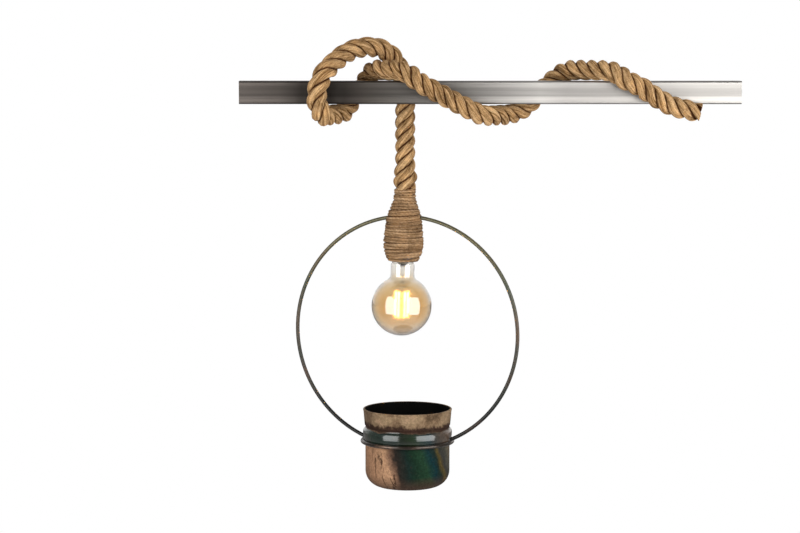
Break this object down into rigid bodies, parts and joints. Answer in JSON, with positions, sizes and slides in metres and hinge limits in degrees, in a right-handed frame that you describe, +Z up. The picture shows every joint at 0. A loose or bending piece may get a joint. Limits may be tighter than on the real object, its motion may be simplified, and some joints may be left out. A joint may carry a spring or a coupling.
{
  "type": "rope pendant lamp with planter ring",
  "caption": "Pendant lamp of thick jute rope hitched round a square steel rail, with a bound lampholder, globe bulb, and a large ring that carries a metal plant pot.",
  "frame": {"origin": "middle of the rail's left end face, where a bracket holds it", "axes": "+X along the rail, +Z up, -Y towards the viewer; the lamp hangs on the +Y side of the rail"},
  "size_m": [0.656, 0.1343, 0.6003],
  "materials": {
    "rail_steel": "brushed along its length",
    "black_plastic": "moulded",
    "jute_rope": "laid jute, fibrous",
    "cable_sheath": "matt sheath",
    "jute_twine": "wound twine, fibrous",
    "brass": "turned",
    "aged_bronze": "aged bronze lacquer, satin",
    "black_bakelite": "moulded, semi-gloss",
    "porcelain": "glazed",
    "steel": "satin",
    "brown_wire": "smooth insulation",
    "blue_wire": "smooth insulation",
    "amber_glass": "clear amber tint, polished",
    "clear_glass": "clear, polished",
    "light_strip": "silicone coat over light-emitting strip",
    "nickel": "nickel plated",
    "black_glass": "fused black insulator",
    "patinated_copper": "flamed copper patina under clear lacquer, gloss"
  },
  "bodies": {
    "rail": {"support_rail": "rail_steel", "end_plug_left": "black_plastic", "end_plug_right": "black_plastic", "rope_on_rail": "jute_rope", "cable_on_rail": "cable_sheath"},
    "link": {"rope_link": "jute_rope", "cable_link": "cable_sheath"},
    "lantern": {"rope_drop": "jute_rope", "cable_drop": "cable_sheath", "jute_binding": "jute_twine", "cable_grip": "black_plastic", "lock_nut": "brass", "threaded_nipple": "brass", "ring_bush": "aged_bronze", "planter_ring": "aged_bronze", "pot_hoop": "aged_bronze", "holder_cap": "black_bakelite", "holder_skirt": "black_bakelite", "holder_insulator": "porcelain", "socket_shell": "brass", "centre_contact": "brass", "terminal_blocks": "brass", "terminal_screws": "steel", "live_wire": "brown_wire", "neutral_wire": "blue_wire"},
    "bulb": {"bulb_glass": "amber_glass", "bulb_stem": "clear_glass", "bulb_leads": "steel", "bulb_filaments": "light_strip", "filament_hubs": "steel", "bulb_cap": "nickel", "bulb_insulator": "black_glass", "bulb_contact": "steel"},
    "pot": {"plant_pot": "patinated_copper"}
  },
  "joints": [
    {"name": "swing_fore_aft", "type": "hinge", "parent": "rail", "child": "link", "pos_m": [0.217, 0.029, -0.032], "axis": [1, 0, 0], "range_deg": [-20, 20]},
    {"name": "swing_sideways", "type": "hinge", "parent": "link", "child": "lantern", "pos_m": [0.217, 0.029, -0.064], "axis": [0, 1, 0], "range_deg": [-20, 20]},
    {"name": "pot_lift", "type": "slide", "parent": "lantern", "child": "pot", "axis": [0, 0, 1], "range_m": [0, 0.07]},
    {"name": "bulb_removal", "type": "slide", "parent": "lantern", "child": "bulb", "axis": [-0.0297, 0, -0.9996], "range_m": [0, 0.03]}
  ]
}
